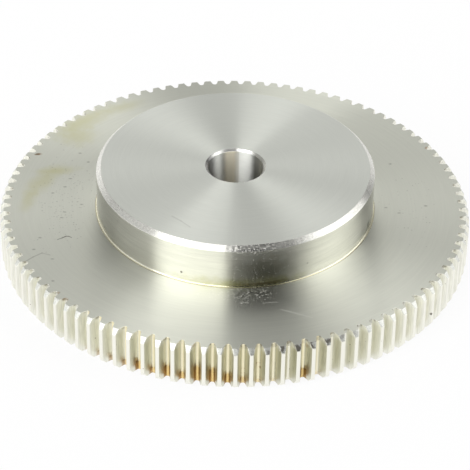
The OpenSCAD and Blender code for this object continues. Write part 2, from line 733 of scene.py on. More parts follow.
def scattered_specks() -> bpy.types.NodeTree:
    """Small specks: the middles of a few random cells, fewer where the density is low.

    A speck is full in its core and fades from there to its edge, and each has its own strength.

    Returns:
        A group with a mask, a little over one in the strongest specks.
    """
    core, least = 0.4, 0.3
    inputs = {"Place": VECTOR, "Cell": FLOAT, "Size": FLOAT, "Density": FLOAT}
    made = Effect("scattered specks", inputs, ("Mask",))
    w, given = made.wiring, made.given
    cells = w.node("TexVoronoi", {"Vector": w.vector("DIVIDE", given["Place"], given["Cell"]), "Scale": 1.0})
    size = w.math("DIVIDE", given["Size"], given["Cell"])
    dot = w.smooth(cells.outputs["Distance"], w.product(size, core), size, 1.0, 0.0)
    lot = w.node("SeparateXYZ", {0: cells.outputs["Color"]}).outputs
    kept = w.math("LESS_THAN", lot[0], given["Density"])
    made.put("Mask", w.product(dot, kept, w.math("ADD", lot[1], least)))
    return made.tree


class Effects:
    """The node groups that the finishes share, each built once."""

    def __init__(self) -> None:
        """Builds every group."""
        self.turning_marks = turning_marks()
        self.soft_patch = soft_patch()
        self.line_mark = line_mark()
        self.scattered_specks = scattered_specks()


@dataclass(frozen=True)
class Stain:
    """A patch of colour on the gear, with its centre, its reaches and the way it is turned."""

    centre: Point
    reach: Point
    turn: float
    strength: float
    tint: Colour
    ragged: float = 0.6
    grain: float = 0.5


@dataclass(frozen=True)
class LineMark:
    """A thin straight mark between two points of a face."""

    start: Point
    end: Point
    width: float
    strength: float


@dataclass(frozen=True)
class Scatter:
    """A kind of scattered speck: the cell that may hold one, its largest reach and its strength.

    The squeeze is less than one along the way that the specks are long.
    """

    cell: float
    size: float
    strength: float
    squeeze: Point = (1.0, 1.0, 1.0)


OIL: Colour = (0.57, 0.555, 0.31)
RUST: Colour = (0.28, 0.14, 0.04)
DIRT: Colour = (0.10, 0.09, 0.07)
UMBER: Colour = (0.15, 0.10, 0.04)
OIL_EDGE: Colour = (0.24, 0.21, 0.11)
FLECK: Colour = (0.82, 0.81, 0.75)

# Rust spots where the web meets the teeth
RIM_SPOTS = (
    Stain((-44.0, 18.3, 10.0), (1.1, 0.6, 1.0), 10.0, 0.9, RUST, 0.4, 2.0),
    Stain((-44.3, 18.3, 10.0), (0.9, 0.5, 1.0), 10.0, 1.0, UMBER, 0.4, 2.0),
    Stain((43.7, 22.5, 10.0), (0.9, 0.7, 1.0), 0.0, 1.2, RUST, 0.4, 2.0),
    Stain((-35.01, -34.91, 10.0), (1.0, 0.8, 1.2), 45.0, 1.4, RUST, 0.3, 2.0),
    Stain((-35.01, -34.91, 10.0), (0.5, 0.4, 0.8), 45.0, 1.0, DIRT, 0.3, 2.0),
    Stain((-36.49, -32.59, 10.0), (0.8, 0.5, 1.0), 45.0, 0.6, RUST, 0.4, 2.0),
)


class Surface:
    """Colour and shine of a finish while its marks are laid on, one after another."""

    def __init__(self, name: str, effects: Effects) -> None:
        """Starts a material.

        Args:
            name: Name of the material.
            effects: The shared node groups.
        """
        self.material = bpy.data.materials.new(name)
        self.wiring = blank_nodes(self.material)
        self.effects = effects
        coordinates = self.wiring.node("TexCoord").outputs["Object"]
        self.place = self.wiring.scaled(coordinates, 1.0 / MM)
        self.axes = self.wiring.node("SeparateXYZ", {0: self.place}).outputs
        flat = self.wiring.vector("MULTIPLY", self.place, (1.0, 1.0, 0.0))
        self.radius = self.wiring.measure("LENGTH", flat)
        self.colour: Feed = (1.0, 1.0, 1.0)
        self.rough: Feed = 0.5
        self.height: Feed = 0.0
        self.metal: Feed = 1.0

    def lathe(self, track: Socket, pitch: float, streaks: float) -> Socket:
        """Places the turning marks and returns their tone."""
        feeds = {"Place": self.place, "Track": track, "Pitch": pitch, "Streaks": streaks}
        return self.wiring.group(self.effects.turning_marks, feeds).outputs["Tone"]

    def patch(self, stain: Stain) -> Socket:
        """Places a stain's patch.

        Args:
            stain: The stain.

        Returns:
            Its mask, at the stain's strength.
        """
        feeds = {"Place": self.place, "Centre": stain.centre, "Reach": stain.reach,
                 "Turn": math.radians(stain.turn), "Ragged": stain.ragged, "Grain": stain.grain}
        mask = self.wiring.group(self.effects.soft_patch, feeds).outputs["Mask"]
        return self.wiring.product(mask, stain.strength)

    def line(self, mark: LineMark) -> Socket:
        """Places a line mark.

        Args:
            mark: The mark.

        Returns:
            Its mask, at the mark's strength.
        """
        feeds = {"Place": self.place, "Start": mark.start, "End": mark.end, "Width": mark.width}
        mask = self.wiring.group(self.effects.line_mark, feeds).outputs["Mask"]
        return self.wiring.product(mask, mark.strength)

    def specks(self, kind: Scatter, density: Feed) -> Socket:
        """Scatters specks.

        Args:
            kind: Kind of speck.
            density: Share of the cells that hold one.

        Returns:
            Their mask, at the kind's strength.
        """
        place = self.wiring.vector("MULTIPLY", self.place, kind.squeeze)
        feeds = {"Place": place, "Cell": kind.cell, "Size": kind.size, "Density": density}
        mask = self.wiring.group(self.effects.scattered_specks, feeds).outputs["Mask"]
        return self.wiring.product(mask, kind.strength)

    def lay(self, mask: Feed, colour: Feed, rough: float = 0.0, dull: float = 0.0) -> None:
        """Lays a colour on where the mask is.

        Args:
            mask: Where, from nothing to one.
            colour: What is mixed in.
            rough: Roughness that is added there.
            dull: Share of bare metal that is taken away there.
        """
        self.colour = self.wiring.mix(mask, self.colour, colour)
        if rough:
            self.rough = self.wiring.math("MULTIPLY_ADD", mask, rough, self.rough)
        if dull:
            self.metal = self.wiring.math("MULTIPLY_ADD", mask, -dull, self.metal)

    def stain(self, *stains: Stain) -> None:
        """Lays stains on, each with its own patch and tint."""
        for stain in stains:
            self.lay(self.patch(stain), stain.tint)

    def fleck(self, mask: Socket) -> None:
        """Lays on bright flecks where the surface is bruised and scatters light every way."""
        self.lay(mask, FLECK, rough=0.2, dull=0.9)

    def raise_by(self, mask: Feed, amount: float) -> None:
        """Adds to the height where the mask is."""
        self.height = self.wiring.math("MULTIPLY_ADD", mask, amount, self.height)

    def finish(self, anisotropic: float, bump: float) -> bpy.types.Material:
        """Joins the layers in a metal shader whose highlights spread across the tool marks.

        Args:
            anisotropic: How much longer the highlights are across the marks than along them.
            bump: Depth of one unit of height, in millimetres.

        Returns:
            The finished material.
        """
        w = self.wiring
        relief = w.node("Bump", {"Height": self.height, "Strength": 1.0, "Distance": bump * MM})
        normal = w.node("NewGeometry").outputs["Normal"]
        round_axis = w.vector("CROSS_PRODUCT", (0.0, 0.0, 1.0), self.place)
        across = w.vector("CROSS_PRODUCT", round_axis, normal)
        shader = w.node("BsdfPrincipled", {
            "Base Color": self.colour, "Metallic": self.metal, "Roughness": self.rough,
            "Anisotropic": anisotropic, "Normal": relief.outputs["Normal"], "Tangent": across})
        w.node("OutputMaterial", {"Surface": shader.outputs[0]})
        return self.material


@dataclass(frozen=True)
class SteelFinish:
    """A bare steel surface: its colour, its shine and the marks that the tool left.

    The pitch is the size of the tool marks along the feed, the streaks are how often they change
    round the axis, the tone is how far they vary the colour, and the bump is how deep they are.
    """

    name: str
    steel: Colour
    rough: float
    anisotropic: float
    pitch: float
    streaks: float
    tone: float
    bump: float

    def track(self, surface: Surface) -> Socket:
        """Distance along the tool's feed, which is the height on a turned wall."""
        return surface.axes[2]

    def marks(self, surface: Surface) -> None:
        """Lays on the marks of this finish alone."""

    def make(self, effects: Effects) -> bpy.types.Material:
        """Makes the material: steel, toned by the tool marks, with its own marks on top.

        Args:
            effects: The shared node groups.

        Returns:
            The finished material.
        """
        surface = Surface(self.name, effects)
        w = surface.wiring
        tone = surface.lathe(self.track(surface), self.pitch, self.streaks)
        surface.colour = w.scaled(self.steel, w.math("MULTIPLY_ADD", tone, self.tone, 1.0))
        surface.rough = w.math("MULTIPLY_ADD", tone, self.tone / 2, self.rough)
        surface.raise_by(tone, 1.0)
        self.marks(surface)
        return surface.finish(self.anisotropic, self.bump)


@dataclass(frozen=True)
class FacedSteel(SteelFinish):
    """The hub's end: turned flat, with rings about the axis and two hair marks."""

    name: str = "faced hub steel"
    steel: Colour = (0.63, 0.645, 0.592)
    rough: float = 0.31
    anisotropic: float = 1.0
    pitch: float = 0.22
    streaks: float = 3.0
    tone: float = 0.16
    bump: float = 0.002
    hairs: tuple[LineMark, ...] = (
        LineMark((-13.31, -18.95, 20.0), (-11.41, -20.70, 20.0), 0.30, 0.20),
        LineMark((-11.41, -20.70, 20.0), (-9.51, -22.79, 20.0), 0.25, 0.22),
    )

    def track(self, surface: Surface) -> Socket:
        """Distance along the tool's feed, which is the radius on a face."""
        return surface.radius

    def marks(self, surface: Surface) -> None:
        """Lays on the hair marks."""
        for hair in self.hairs:
            surface.lay(surface.line(hair), DIRT)


@dataclass(frozen=True)
class WebSteel(FacedSteel):
    """The faces of the toothed disc: oil stains, rust spots, specks, a film, bruises and scratches."""

    name: str = "faced web steel"
    steel: Colour = (0.66, 0.67, 0.59)
    rough: float = 0.36
    pitch: float = 0.4
    streaks: float = 4.0
    tone: float = 0.18
    hairs: tuple[LineMark, ...] = (
        LineMark((-37.74, -13.99, 10.0), (-36.82, -13.43, 10.0), 0.18, 0.8),
        LineMark((-36.82, -13.43, 10.0), (-36.01, -12.77, 10.0), 0.22, 1.0),
        LineMark((-36.01, -12.77, 10.0), (-35.40, -12.80, 10.0), 0.20, 1.0),
        LineMark((-35.40, -12.80, 10.0), (-34.81, -13.22, 10.0), 0.18, 0.8),
        LineMark((-43.95, -21.90, 10.0), (-42.49, -20.29, 10.0), 0.25, 0.35),
        LineMark((-42.49, -20.29, 10.0), (-40.70, -18.85, 10.0), 0.25, 0.35),
        LineMark((-40.70, -18.85, 10.0), (-38.97, -19.53, 10.0), 0.25, 0.25),
    )
    dots: tuple[tuple[float, float], ...] = (
        (-34.7, 18.9), (-32.7, 15.4), (-36.3, 8.8), (-37.3, 5.6), (-39.8, 3.2), (-33.3, -1.0), (-36.8, -3.9),
        (-37.3, -6.0), (-41.5, -13.4), (-42.5, -17.6), (-38.4, -20.9), (-37.8, -28.5), (32.9, -1.0),
        (35.6, -3.0), (41.6, -0.2), (34.8, 15.9),
    )
    dot: Stain = Stain((0.0, 0.0, FACE_WIDTH), (0.6, 0.38, 1.0), 0.0, 0.5, DIRT, 0.8, 1.7)
    stains: tuple[Stain, ...] = (
        Stain((-35.0, 31.5, 10.0), (12.0, 4.5, 4.0), 45.0, 0.60, OIL),
        Stain((-35.5, 25.5, 10.0), (6.5, 5.5, 4.0), 20.0, 0.50, OIL),
        Stain((-26.0, 38.0, 10.0), (8.0, 3.0, 4.0), 30.0, 0.40, OIL),
        Stain((-42.5, 7.5, 10.0), (9.5, 3.6, 4.0), 62.0, 0.55, OIL),
        Stain((-39.5, 12.0, 10.0), (6.5, 2.6, 4.0), 8.0, 0.60, OIL),
        Stain((-45.0, 0.5, 10.0), (6.5, 2.4, 4.0), 80.0, 0.45, OIL),
    )
    speckled: tuple[Stain, ...] = (
        Stain((-37.0, 1.0, 10.0), (9.0, 26.0, 4.0), 0.0, 1.2, DIRT, 0.3),
        Stain((38.0, -2.0, 10.0), (9.0, 20.0, 4.0), 0.0, 0.25, DIRT, 0.3),
    )
    speck: Scatter = Scatter(0.7, 0.21, 0.26)
    film: Stain = Stain((6.0, -34.5, 10.0), (9.0, 6.0, 3.0), 0.0, 0.4, (0.40, 0.40, 0.35), 0.4, 0.5)
    bruised: Stain = Stain((1.0, -31.8, 10.0), (9.5, 4.2, 3.0), 0.0, 1.6, FLECK, 0.4, 1.0)
    bruise: Scatter = Scatter(0.30, 0.15, 0.5, (0.5, 1.0, 1.0))
    scratches: tuple[LineMark, ...] = (
        LineMark((9.27, -37.36, 10.0), (15.52, -39.90, 10.0), 0.28, 0.35),
        LineMark((5.63, -35.26, 10.0), (8.71, -34.88, 10.0), 0.22, 0.3),
        LineMark((0.92, -35.00, 10.0), (2.56, -35.31, 10.0), 0.20, 0.35),
    )

    def marks(self, surface: Surface) -> None:
        """Lays on the stains, rust spots, specks, hair marks, the film, the bruises and the scratches.

        Args:
            surface: The finish so far.
        """
        surface.stain(*self.stains, *RIM_SPOTS)
        for region in self.speckled:
            surface.lay(surface.specks(self.speck, surface.patch(region)), DIRT, rough=0.1)
        for x, y in self.dots:
            surface.stain(replace(self.dot, centre=(x, y, FACE_WIDTH)))
        super().marks(surface)
        surface.stain(self.film)
        surface.fleck(surface.specks(self.bruise, surface.patch(self.bruised)))
        for scratch in self.scratches:
            surface.fleck(surface.line(scratch))


@dataclass(frozen=True)
class HubSteel(SteelFinish):
    """The hub's wall, fillet and chamfer: a film in front, an oily foot, specks, flecks and scuffs."""

    name: str = "turned hub steel"
    steel: Colour = (0.80, 0.795, 0.74)
    rough: float = 0.20
    anisotropic: float = 0.95
    pitch: float = 0.5
    streaks: float = 3.0
    tone: float = 0.42
    bump: float = 0.003
    film: Stain = Stain((6.5, -29.4, 14.0), (9.0, 5.0, 8.0), 0.0, 1.1, (0.40, 0.395, 0.335), 0.4, 0.5)
    foot: Stain = Stain((2.0, -29.0, 9.7), (22.0, 9.0, 3.6), 0.0, 1.0, OIL, 0.8, 0.5)
    foot_line: Stain = Stain((6.0, -29.4, 10.65), (9.5, 4.0, 0.5), 0.0, 0.6, UMBER, 0.3, 1.0)
    specks: tuple[Stain, ...] = (
        Stain((-11.22, -27.82, 12.13), (0.45, 0.45, 0.45), 0.0, 1.2, DIRT, 0.3, 2.0),
        # A dark round spot about two millimetres across on the hub's right side
        Stain((28.41, -9.63, 11.76), (0.9, 0.9, 1.1), 0.0, 1.3, DIRT, 0.6, 2.0),
        Stain((14.91, -26.03, 13.44), (0.3, 0.3, 0.3), 0.0, 0.6, DIRT, 0.3, 2.0),
    )
    # Fillet tint, yellowish like oil and laid with a diffuse share: partly a painted highlight that makes the
    # fillet a bright line, cut back where bare_foot is
    fillet: Ramp = Ramp(10.12, 10.26, 0.8, 0.0)
    fillet_highlight: Colour = (0.74, 0.71, 0.50)
    bare_foot: Stain = Stain((6.0, -29.6, 10.2), (9.5, 4.0, 2.0), 0.0, 2.0, UMBER, 0.2, 1.0)
    bare_share: float = 0.8
    fillet_edge: Ramp = Ramp(FACE_WIDTH, 10.06, 0.6, 0.0)
    flecked: Stain = Stain((4.5, -29.5, 14.5), (11.0, 5.0, 9.0), 0.0, 1.0, FLECK, 0.3, 1.0)
    fleck: Scatter = Scatter(0.30, 0.13, 0.3)
    chamfer: Ramp = Ramp(18.98, 19.08)
    wear: Mottle = Mottle(2.6, 3.0, 0.7, 0.86)
    scuffed: Stain = Stain((4.5, -29.2, 19.6), (10.0, 5.0, 1.8), 0.0, 1.5, FLECK, 0.5, 0.8)
    scuff: Ramp = Ramp(0.54, 0.62, 0.0, 0.5)
    scuff_height: float = 11.0

    def marks(self, surface: Surface) -> None:
        """Lays on the film, the oily foot, a tint on its fillet that is partly oil colour and partly a
        painted highlight, the specks, the flecks and the scuffs.

        Args:
            surface: The finish so far.
        """
        w, height = surface.wiring, surface.axes[2]
        surface.stain(self.film, self.foot)
        bare = w.math("MULTIPLY_ADD", w.clamped(surface.patch(self.bare_foot)), -self.bare_share, 1.0)
        # Painted highlight along the fillet, partly oil in colour
        surface.lay(w.product(w.step(height, self.fillet), bare), self.fillet_highlight, dull=0.3)
        surface.lay(w.step(height, self.fillet_edge), OIL_EDGE)
        surface.stain(self.foot_line, *self.specks)
        surface.fleck(surface.specks(self.fleck, surface.patch(self.flecked)))
        scuffed = surface.patch(self.scuffed)
        grain = w.noise(surface.place, self.wear)
        worn = w.scaled(self.steel, w.swing(grain, self.wear.swing, self.wear.level))
        surface.lay(w.step(height, self.chamfer), worn, rough=0.08, dull=0.12)
        surface.raise_by(w.product(grain, scuffed), self.scuff_height)
        surface.fleck(w.product(w.step(grain, self.scuff), scuffed))


@dataclass(frozen=True)
class BoredSteel(SteelFinish):
    """The bore's wall and mouth: a strip of old oil down its back, a brown line beside it and painted shade
    down its left and right walls.
    """

    name: str = "bored steel"
    steel: Colour = (0.92, 0.93, 0.88)
    rough: float = 0.50
    anisotropic: float = 1.0
    pitch: float = 0.25
    streaks: float = 2.0
    tone: float = 0.18
    bump: float = 0.003
    strip: Stain = Stain((-1.1, 5.8, 10.0), (2.3, 3.5, 60.0), 0.0, 1.5, (0.95, 0.88, 0.70), 0.2, 0.6)
    edge: LineMark = LineMark((0.62, 5.97, 0.0), (0.62, 5.97, 20.0), 0.3, 0.2)
    # Painted shade: dark patches down the left and right walls of the bore
    painted_side_shade: tuple[Stain, ...] = (
        Stain((-6.5, 0.6, 10.0), (4.4, 7.0, 60.0), 0.0, 2.2, (0.26, 0.26, 0.25), 0.2, 0.6),
        Stain((6.3, 1.0, 10.0), (3.8, 8.0, 60.0), 0.0, 4.0, (0.40, 0.40, 0.36), 0.1, 0.6),
    )
    mouth: Ramp = Ramp(6.03, 6.12)
    mouth_steel: Colour = (0.92, 0.92, 0.87)

    def marks(self, surface: Surface) -> None:
        """Lays on the strip of oil, the line along its edge, the bright mouth and the painted shade on the
        side walls.

        Args:
            surface: The finish so far.
        """
        w = surface.wiring
        mouth = w.step(surface.radius, self.mouth)
        wall = w.math("SUBTRACT", 1.0, mouth)
        strip = w.clamped(w.product(surface.patch(self.strip), wall))
        surface.lay(strip, self.strip.tint, dull=0.9)
        surface.lay(surface.line(self.edge), UMBER)
        surface.lay(mouth, self.mouth_steel, rough=-0.25, dull=0.3)
        # Painted shade on the bore's left and right walls
        surface.stain(*self.painted_side_shade)


@dataclass(frozen=True)
class HobbedSteel(SteelFinish):
    """Cream lands, turned end chamfers and hobbed flanks: darker top edges of the gaps, specks, and rust in
    some gaps.
    """

    name: str = "hobbed steel"
    steel: Colour = (0.95, 0.94, 0.85)
    rough: float = 0.32
    anisotropic: float = 0.3
    pitch: float = 0.5
    streaks: float = 60.0
    tone: float = 0.06
    bump: float = 0.003
    chamfer: Ramp = Ramp(8.75, 8.95)
    chamfer_steel: Colour = (0.70, 0.71, 0.66)
    chamfer_wear: Mottle = Mottle(3.5, 2.0, 0.7, 1.0)
    flank_steel: Colour = (0.88, 0.875, 0.78)
    flank_streaks: Mottle = Mottle(1.0, 2.0, 0.45, 1.0)
    flank_grain: Point = (4.5, 4.5, 0.3)
    film: Stain = Stain((2.0, -50.0, 5.0), (40.0, 22.0, 30.0), 0.0, 1.0, (0.70, 0.69, 0.57), 0.2, 0.2)
    valley: Ramp = Ramp(49.2, 49.9, 1.0, 0.0)
    # The gaps are darker towards their top edge, broken up by noise
    gap_top_band: Ramp = Ramp(9.1, FACE_WIDTH, 0.0, 0.8)
    gap_top_dark: Colour = (0.17, 0.15, 0.09)
    smear_noise: Mottle = Mottle(0.9, 3.0)
    smear: Ramp = Ramp(0.42, 0.62)
    grime: Stain = Stain((12.0, -48.5, 9.5), (20.0, 9.0, 5.0), 0.0, 1.4, (0.22, 0.21, 0.18), 0.4, 0.5)
    clean_flank: float = 0.7
    speck: Scatter = Scatter(1.1, 0.16, 0.6)
    speck_density: float = 0.12
    specks: tuple[Stain, ...] = (
        Stain((40.89, -30.48, 3.66), (0.6, 0.6, 0.5), 0.0, 1.8, DIRT, 0.2, 2.0),
        Stain((1.55, -48.88, 3.83), (0.7, 0.5, 0.3), 0.0, 0.9, RUST, 0.5, 2.0),
        Stain((1.57, -48.87, 2.66), (0.7, 0.5, 0.3), 0.0, 0.9, RUST, 0.5, 2.0),
        Stain((4.55, -48.69, 5.15), (0.8, 0.5, 0.35), 0.0, 0.8, RUST, 0.6, 2.0),
        Stain((4.97, -48.65, 4.08), (0.6, 0.5, 0.5), 0.0, 0.8, RUST, 0.6, 2.0),
        Stain((14.12, -47.55, 8.74), (0.8, 0.9, 1.0), 0.0, 0.9, RUST, 0.8, 1.0),
        Stain((-7.84, -48.98, 9.75), (1.2, 0.9, 0.9), 0.0, 0.7, RUST, 0.8, 1.0),
    )
    gilt: Colour = (0.93, 0.85, 0.58)
    gilt_amount: Ramp = Ramp(0.0, 0.3, 0.0, 0.9)
    gilt_bottom: Ramp = Ramp(0.3, 0.8, 1.0, 0.0)
    golden: Colour = (0.95, 0.71, 0.29)
    brown: Colour = (0.42, 0.25, 0.07)
    umber: Colour = (0.17, 0.11, 0.035)
    rust_height: float = 4.0
    least_height: float = 0.01
    rust_edge: Mottle = Mottle(1.3, 3.0, 0.6)
    rust_end: Ramp = Ramp(0.8, 1.15, 1.0, 0.0)
    rust_amount: Ramp = Ramp(0.0, 0.6, 0.0, 0.95)
    rust_dark: Ramp = Ramp(0.5, 1.0)
    rust_wall: Ramp = Ramp(0.1, 0.8)
    rust_relief: float = 2.0
    rust_lines: tuple[LineMark, ...] = (
        LineMark((-8.34, -48.28, 0.5), (-8.34, -48.28, 4.5), 0.40, 0.9),
        LineMark((-6.99, -48.50, 0.5), (-6.99, -48.50, 4.5), 0.40, 0.9),
    )

    def marks(self, surface: Surface) -> None:
        """Lays on the chamfers' and the flanks' own steel, the darker top edges of the gaps, the grime, the
        specks and the rust.

        Args:
            surface: The finish so far.
        """
        w, height = surface.wiring, surface.axes[2]
        chamfer = w.step(height, self.chamfer)
        worn = w.scaled(self.chamfer_steel, w.mottled(surface.place, self.chamfer_wear))
        surface.lay(chamfer, worn, dull=0.4)
        flank = w.node("Attribute", attribute_name=SpurGear.FLANK).outputs["Fac"]
        streaks = w.mottled(w.vector("MULTIPLY", surface.place, self.flank_grain), self.flank_streaks)
        filmed = w.mix(surface.patch(self.film), self.flank_steel, self.film.tint)
        surface.lay(flank, w.scaled(filmed, streaks))
        valley = w.step(surface.radius, self.valley)
        smear = w.step(w.noise(surface.place, self.smear_noise), self.smear)
        # Darker towards the top edge of the gaps
        surface.lay(w.product(w.step(height, self.gap_top_band), valley, smear), self.gap_top_dark)
        ends = w.product(chamfer, w.math("MULTIPLY_ADD", flank, -self.clean_flank, 1.0))
        surface.lay(w.product(surface.patch(self.grime), ends, smear), self.grime.tint)
        surface.lay(surface.specks(self.speck, self.speck_density), UMBER)
        surface.stain(*self.specks, *RIM_SPOTS)
        self.rust(surface, valley, flank)

    def rust(self, surface: Surface, valley: Socket, flank: Socket) -> None:
        """Lays rust in the gaps: each gap's own amount, golden in the valley, brown on the flanks and
        darkest where it ends.

        Args:
            surface: The finish so far.
            valley: Mask of the bottom of the gaps.
            flank: Share of flank, which is none in the middle of a valley.
        """
        w = surface.wiring
        amount = w.node("Attribute", attribute_name=SpurGear.RUST).outputs["Fac"]
        gilded = w.product(w.step(amount, self.gilt_amount), w.step(flank, self.gilt_bottom), valley)
        surface.lay(gilded, self.gilt)
        reach = w.math("MULTIPLY_ADD", amount, self.rust_height, self.least_height)
        level = w.math("DIVIDE", surface.axes[2], reach)
        level = w.math("ADD", level, w.mottled(surface.place, self.rust_edge))
        mask = w.product(w.step(level, self.rust_end), valley, w.step(amount, self.rust_amount))
        wall = w.mix(w.step(level, self.rust_dark), self.brown, self.umber)
        surface.lay(mask, w.mix(w.step(flank, self.rust_wall), self.golden, wall), rough=0.1, dull=0.3)
        surface.raise_by(mask, self.rust_relief)
        for line in self.rust_lines:
            surface.lay(surface.line(line), self.umber)


@dataclass
class SpurGear:
    """The whole gear as one closed mesh: the tooth ring and the turned body, joined on both faces."""

    teeth: ToothRing
    body: TurnedBody
    first_rusted: int = 64
    rust_amounts: tuple[float, ...] = (
        0.20, 0.30, 0.35, 0.40, 0.60, 0.45, 0.75, 0.50, 1.00,
        0.90, 0.60, 0.40, 0.25, 0.20, 0.10, 0.65, 0.20, 0.10,
    )

    # Attributes that the tooth finish reads, and columns of the ring for each column of the body
    RUST = "rust"
    FLANK = "flank"
    SEAM_STEP = 4

    def rust_by_column(self) -> np.ndarray:
        """Rust of each column of the tooth ring, which is that of the nearer gap.

        Returns:
            Amounts between nothing and one, with the gaps counted from +X.
        """
        amount = np.zeros(self.teeth.count + 1)
        amount[self.first_rusted:self.first_rusted + len(self.rust_amounts)] = self.rust_amounts
        amount[-1] = amount[0]
        per_pitch = self.teeth.columns_per_pitch()
        nearer = (np.arange(per_pitch) > per_pitch // 2).astype(int)
        return amount[np.arange(self.teeth.count)[:, None] + nearer].ravel()

    def flank_by_column(self) -> np.ndarray:
        """Share of flank in each column of the tooth ring: it grows from the middle of a gap to one on
        the flanks, and is none on the lands.

        Returns:
            Shares between nothing and one.
        """
        teeth = self.teeth
        half = np.concatenate([
            np.array(teeth.ROOT_SHARES), np.ones(len(teeth.FLANK_SHARES)),
            np.zeros(len(teeth.BREAK_SHARES) + len(teeth.LAND_SHARES))])
        return np.tile(np.concatenate([half, half[-2:0:-1]]), teeth.count)

    @staticmethod
    def bands(rows: int, columns: int, first: int) -> np.ndarray:
        """Faces of a grid that closes round the axis, each from one row to the next.

        Args:
            rows: Rows of the grid.
            columns: Columns of the grid.
            first: Number of the grid's first vertex.

        Returns:
            Vertex numbers with bands, columns and corners along the axes.
        """
        row, column = np.mgrid[0:rows - 1, 0:columns]
        after = (column + 1) % columns
        corners = [row * columns + column, (row + 1) * columns + column,
                   (row + 1) * columns + after, row * columns + after]
        return np.stack(corners, axis=-1) + first

    def mesh(self) -> bpy.types.Mesh:
        """Builds the closed mesh, its finishes, its rust and its flat map.

        The ring's outline has four columns to each column of the body, so the two grids are joined
        on each face by flat faces with two corners on the seam circle and five on the outline.

        Returns:
            The mesh, in metres.
        """
        ring, ring_angles = self.teeth.surface()
        ring_rows, ring_columns = ring.shape[:2]
        body_angles = ring_angles[0, ::self.SEAM_STEP]
        body, zones, charts = self.body.surface(body_angles)
        body_rows, body_columns = body.shape[:2]
        start = body_rows * body_columns
        points = np.concatenate([body.reshape(-1, 3), ring.reshape(-1, 3)])
        body_faces = self.bands(body_rows, body_columns, 0)
        ring_faces = self.bands(ring_rows, ring_columns, start)

        seam = np.arange(body_columns)
        after = (seam + 1) % body_columns
        fan = (seam[:, None] * self.SEAM_STEP + np.arange(self.SEAM_STEP + 1)) % ring_columns
        top_row, end_row = start, start + (ring_rows - 1) * ring_columns
        last = (body_rows - 1) * body_columns
        top_faces = np.concatenate([(last + seam)[:, None], top_row + fan, (last + after)[:, None]], axis=1)
        end_faces = np.concatenate([seam[:, None], after[:, None], end_row + fan[:, ::-1]], axis=1)

        flat = FlatMap(self.teeth.tip_r)
        layout = [
            self.body_map(flat, body, charts),
            self.ring_map(flat, ring),
            flat.on_disc(points[top_faces], Chart.HUB_FACE),
            flat.on_disc(points[end_faces], Chart.PLAIN_FACE),
        ]
        groups = [body_faces.reshape(-1, 4), ring_faces.reshape(-1, 4), top_faces, end_faces]
        slots = np.concatenate([
            np.repeat([zone.value for zone in zones], body_columns),
            self.ring_slots(ring_rows, ring_columns),
            np.full(2 * body_columns, Zone.WEB.value),
        ])
        mesh = self.fill("gear_steel", points * MM, groups, slots)
        chart_map = mesh.uv_layers.new(name="OFBake")
        spread = np.concatenate([part.reshape(-1, 2) for part in layout])
        chart_map.uv.foreach_set("vector", spread.astype(np.float32).ravel())
        for name, by_column in ((self.RUST, self.rust_by_column()), (self.FLANK, self.flank_by_column())):
            share = mesh.attributes.new(name, "FLOAT", "POINT")
            values = np.concatenate([np.zeros(start), np.tile(by_column, ring_rows)])
            share.data.foreach_set("value", values.astype(np.float32))
        return mesh

    @staticmethod
    def fill(name: str, points: np.ndarray, groups: list[np.ndarray], slots: np.ndarray) -> bpy.types.Mesh:
        """Puts points and faces into a new smooth mesh.

        Args:
            name: Name of the mesh.
            points: Vertices in metres.
            groups: Arrays of faces, each with a row of vertex numbers for a face.
            slots: Material slot of each face.

        Returns:
            The mesh.
        """
        mesh = bpy.data.meshes.new(name)
        loops = np.concatenate([group.ravel() for group in groups])
        totals = np.concatenate([np.full(len(group), group.shape[1]) for group in groups])
        starts = np.concatenate([[0], np.cumsum(totals)[:-1]])
        mesh.vertices.add(len(points))
        mesh.vertices.foreach_set("co", points.astype(np.float32).ravel())
        mesh.loops.add(len(loops))
        mesh.loops.foreach_set("vertex_index", loops.astype(np.int32))
        mesh.polygons.add(len(totals))
        mesh.polygons.foreach_set("loop_start", starts.astype(np.int32))
        mesh.polygons.foreach_set("material_index", slots.astype(np.int32))
        mesh.update(calc_edges=True)
        mesh.validate()
        mesh.shade_smooth()
        return mesh

    @staticmethod
    def ring_slots(rows: int, columns: int) -> np.ndarray:
        """Finish of each face of the ring: tooth steel, but face steel on the flat edge of each end.

        Args:
            rows: Rows of the ring.
            columns: Columns of the ring.

        Returns:
            Material slot of each face.
        """
        bands = np.full(rows - 1, Zone.TEETH.value)
        bands[[0, -1]] = Zone.WEB.value
        return np.repeat(bands, columns)

    @staticmethod
    def face_corners(points: np.ndarray, band: int | np.ndarray) -> np.ndarray:
        """Corners of the faces between a row and the next, in the order of the faces' vertices.

        Args:
            points: Points by row and column, with the first column once more at the end.
            band: Number of the row that each band of faces starts at.

        Returns:
            Points with the four corners along the axis before the last.
        """
        here, below = points[band], points[band + 1]
        corners = [here[..., :-1, :], below[..., :-1, :], below[..., 1:, :], here[..., 1:, :]]
        return np.stack(corners, axis=-2)

